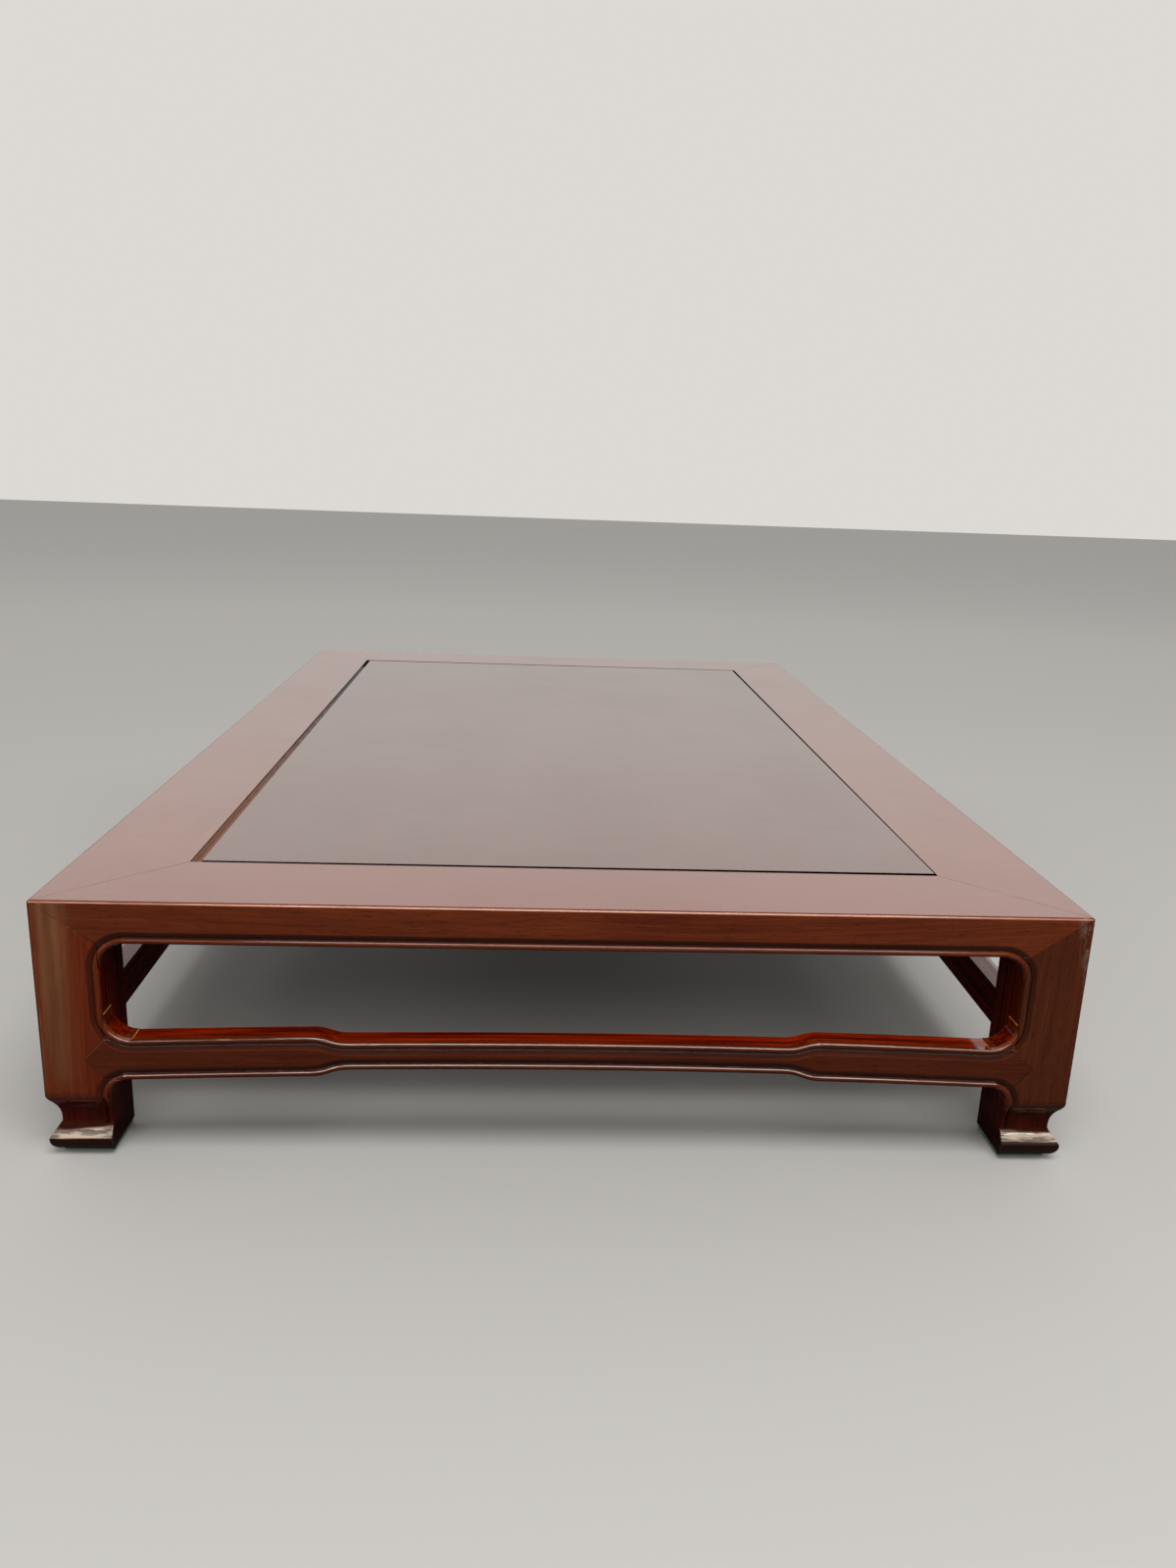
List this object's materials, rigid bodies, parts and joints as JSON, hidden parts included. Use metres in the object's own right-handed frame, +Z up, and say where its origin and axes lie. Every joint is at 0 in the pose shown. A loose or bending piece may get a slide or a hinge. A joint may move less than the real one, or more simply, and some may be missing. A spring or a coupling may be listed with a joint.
{
  "type": "low display table",
  "caption": "Low rectangular rosewood display table with a mitred frame and panel top, square legs on scroll feet, stretchers, and a bead round its openings.",
  "frame": {"origin": "on the floor under the middle of the top", "axes": "+Z up, +Y along the long sides, away from the short side that the picture shows in front, +X along the short sides to that view's right"},
  "size_m": [0.4, 0.606, 0.106],
  "materials": {
    "leg_wood": "gloss lacquer over fine straight grain",
    "rail_wood": "gloss lacquer over fine straight grain",
    "panel_wood": "gloss lacquer over fine straight grain",
    "inner_wood": "thin satin lacquer on the hidden side",
    "stretcher_wood": "gloss lacquer over fine straight grain",
    "block_wood": "gloss lacquer over fine straight grain",
    "felt": "pressed green felt"
  },
  "bodies": {
    "root": {"leg_front_left": "leg_wood", "leg_front_right": "leg_wood", "leg_back_left": "leg_wood", "leg_back_right": "leg_wood", "rail_front": "rail_wood", "rail_back": "rail_wood", "rail_left": "rail_wood", "rail_right": "rail_wood", "panel": "panel_wood", "batten_front": "inner_wood", "batten_back": "inner_wood", "stretcher_front": "stretcher_wood", "stretcher_back": "stretcher_wood", "stretcher_left": "stretcher_wood", "stretcher_right": "stretcher_wood", "block_front_left_top": "block_wood", "block_front_left_mid": "block_wood", "block_front_left_low": "block_wood", "block_front_right_top": "block_wood", "block_front_right_mid": "block_wood", "block_front_right_low": "block_wood", "block_back_left_top": "block_wood", "block_back_left_mid": "block_wood", "block_back_left_low": "block_wood", "block_back_right_top": "block_wood", "block_back_right_mid": "block_wood", "block_back_right_low": "block_wood", "block_left_front_top": "block_wood", "block_left_front_mid": "block_wood", "block_left_front_low": "block_wood", "block_left_back_top": "block_wood", "block_left_back_mid": "block_wood", "block_left_back_low": "block_wood", "block_right_front_top": "block_wood", "block_right_front_mid": "block_wood", "block_right_front_low": "block_wood", "block_right_back_top": "block_wood", "block_right_back_mid": "block_wood", "block_right_back_low": "block_wood", "felt_pad_front_left": "felt", "felt_pad_front_right": "felt", "felt_pad_back_left": "felt", "felt_pad_back_right": "felt"}
  },
  "joints": []
}
